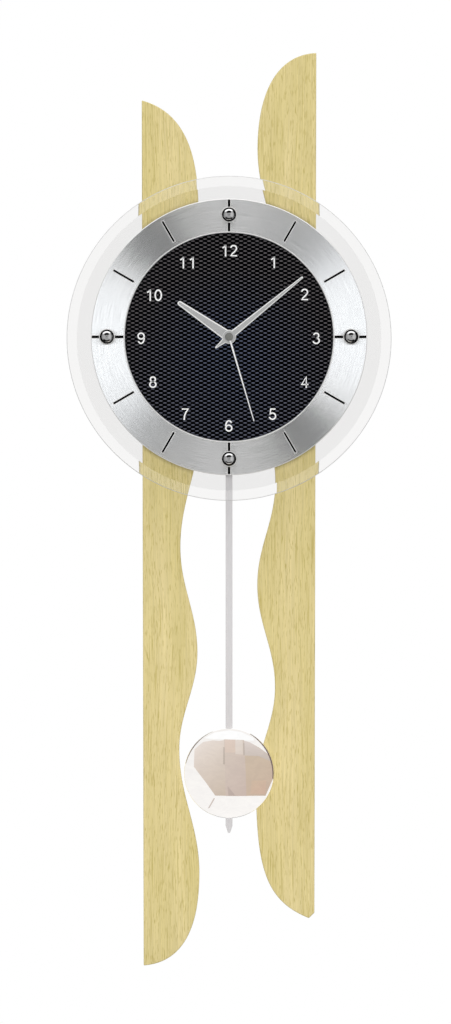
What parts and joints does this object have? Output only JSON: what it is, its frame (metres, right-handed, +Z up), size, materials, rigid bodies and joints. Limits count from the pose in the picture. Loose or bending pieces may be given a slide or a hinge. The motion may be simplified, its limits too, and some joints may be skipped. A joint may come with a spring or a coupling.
{
  "type": "radio-controlled wall clock",
  "caption": "Wall clock with two wavy wooden boards, a brushed ring dial under a round bevelled glass held by ball studs, and a swinging pendulum with a domed bob.",
  "frame": {"origin": "centre of the nail's shaft where the keyhole hangs on it, at the face of the wall", "axes": "+Z up, +Y into the wall, so the dial faces -Y; +X to the right as seen from the front"},
  "size_m": [0.25, 0.077, 0.7045],
  "materials": {
    "pale_wood": "satin lacquered veneer",
    "black_plastic": "fine moulded texture",
    "white_plastic": "smooth moulded",
    "dial_face": "printed, matt",
    "brushed_aluminium": "spun brushed",
    "polished_chrome": "mirror",
    "zinc_steel": "zinc plated",
    "dark_steel": "plain",
    "copper_wire": "enamelled winding",
    "brass": "turned",
    "hand_metal": "satin",
    "clear_glass": "polished, bevelled rim",
    "ferrite": "sintered",
    "circuit_green": "solder mask",
    "felt": "felt",
    "battery_sleeve": "printed sleeve"
  },
  "bodies": {
    "clock_body": {"left_board": "pale_wood", "right_board": "pale_wood", "hanger_strap": "zinc_steel", "strap_screw_left": "dark_steel", "strap_screw_right": "dark_steel", "wall_pad_left": "felt", "wall_pad_right": "felt", "rear_case": "black_plastic", "case_screw_upper_left": "dark_steel", "case_screw_upper_right": "dark_steel", "case_screw_lower_left": "dark_steel", "case_screw_lower_right": "dark_steel", "dial_plate": "zinc_steel", "dial_disc": "dial_face", "dial_ring": "brushed_aluminium", "glass_disc": "clear_glass", "ball_stud_12": "polished_chrome", "ball_stud_3": "polished_chrome", "ball_stud_6": "polished_chrome", "ball_stud_9": "polished_chrome", "glass_spacer_12": "white_plastic", "glass_spacer_3": "white_plastic", "glass_spacer_6": "white_plastic", "glass_spacer_9": "white_plastic", "stud_nut_12": "zinc_steel", "stud_nut_3": "zinc_steel", "stud_nut_6": "zinc_steel", "stud_nut_9": "zinc_steel", "movement_rear_cover": "black_plastic", "movement_front_cover": "black_plastic", "shaft_nut": "brass", "minute_stator": "dark_steel", "second_stator": "dark_steel", "minute_coil": "copper_wire", "second_coil": "copper_wire", "circuit_board": "circuit_green", "antenna_rod": "ferrite", "antenna_winding": "copper_wire", "battery": "battery_sleeve", "battery_contact_plus": "zinc_steel", "battery_contact_minus": "zinc_steel", "pendulum_coil": "copper_wire"},
    "minute_body": {"minute_arbor": "white_plastic", "minute_hand": "hand_metal"},
    "hour_body": {"hour_wheel": "white_plastic", "hour_hand": "hand_metal"},
    "motion_body": {"motion_wheel": "white_plastic"},
    "minute_transfer_body": {"minute_transfer_wheel": "white_plastic"},
    "minute_rotor_body": {"minute_rotor": "dark_steel"},
    "second_body": {"second_arbor": "dark_steel", "second_hand": "hand_metal"},
    "second_transfer_body": {"second_transfer_wheel": "white_plastic"},
    "second_rotor_body": {"second_rotor": "dark_steel"},
    "pendulum_body": {"hanger_lever": "white_plastic", "lever_magnet": "dark_steel", "pendulum_rod": "hand_metal", "pendulum_bob": "polished_chrome", "bob_clip": "zinc_steel"},
    "set_button_body": {"set_button": "white_plastic"},
    "reset_button_body": {"reset_button": "white_plastic"}
  },
  "joints": [
    {"name": "pendulum_swing", "type": "hinge", "parent": "clock_body", "child": "pendulum_body", "pos_m": [0, -0.0205, -0.046], "axis": [0, 1, 0], "range_deg": [-5, 5]},
    {"name": "minute_spin", "type": "hinge", "parent": "clock_body", "child": "minute_body", "pos_m": [0, -0.0557, -0.07], "axis": [0, 1, 0], "continuous": true},
    {"name": "hour_spin", "type": "hinge", "parent": "clock_body", "child": "hour_body", "pos_m": [0, -0.0531, -0.07], "axis": [0, 1, 0], "continuous": true},
    {"name": "motion_spin", "type": "hinge", "parent": "clock_body", "child": "motion_body", "pos_m": [-0.00902, -0.038, -0.07328], "axis": [0, 1, 0], "continuous": true},
    {"name": "minute_transfer_spin", "type": "hinge", "parent": "clock_body", "child": "minute_transfer_body", "pos_m": [0.00772, -0.035, -0.06352], "axis": [0, 1, 0], "continuous": true},
    {"name": "minute_rotor_spin", "type": "hinge", "parent": "clock_body", "child": "minute_rotor_body", "pos_m": [0.01633, -0.033, -0.06277], "axis": [0, 1, 0], "continuous": true},
    {"name": "second_spin", "type": "hinge", "parent": "clock_body", "child": "second_body", "pos_m": [0, -0.0581, -0.07], "axis": [0, 1, 0], "continuous": true},
    {"name": "second_transfer_spin", "type": "hinge", "parent": "clock_body", "child": "second_transfer_body", "pos_m": [0.00504, -0.031, -0.07873], "axis": [0, 1, 0], "continuous": true},
    {"name": "second_rotor_spin", "type": "hinge", "parent": "clock_body", "child": "second_rotor_body", "pos_m": [0.01293, -0.029, -0.0816], "axis": [0, 1, 0], "continuous": true},
    {"name": "set_button_press", "type": "slide", "parent": "clock_body", "child": "set_button_body", "axis": [0, -1, 0], "range_m": [0, 0.0008], "stiffness_N_per_m": 300, "springref_m": -0.0005},
    {"name": "reset_button_press", "type": "slide", "parent": "clock_body", "child": "reset_button_body", "axis": [0, -1, 0], "range_m": [0, 0.0008], "stiffness_N_per_m": 300, "springref_m": -0.0005}
  ],
  "couplings": [
    {"joint": "hour_spin", "follows": "minute_spin", "ratio": 0.083333},
    {"joint": "motion_spin", "follows": "minute_spin", "ratio": -0.33333},
    {"joint": "minute_transfer_spin", "follows": "minute_spin", "ratio": -6},
    {"joint": "minute_rotor_spin", "follows": "minute_spin", "ratio": 30},
    {"joint": "second_transfer_spin", "follows": "second_spin", "ratio": -5},
    {"joint": "second_rotor_spin", "follows": "second_spin", "ratio": 30}
  ]
}
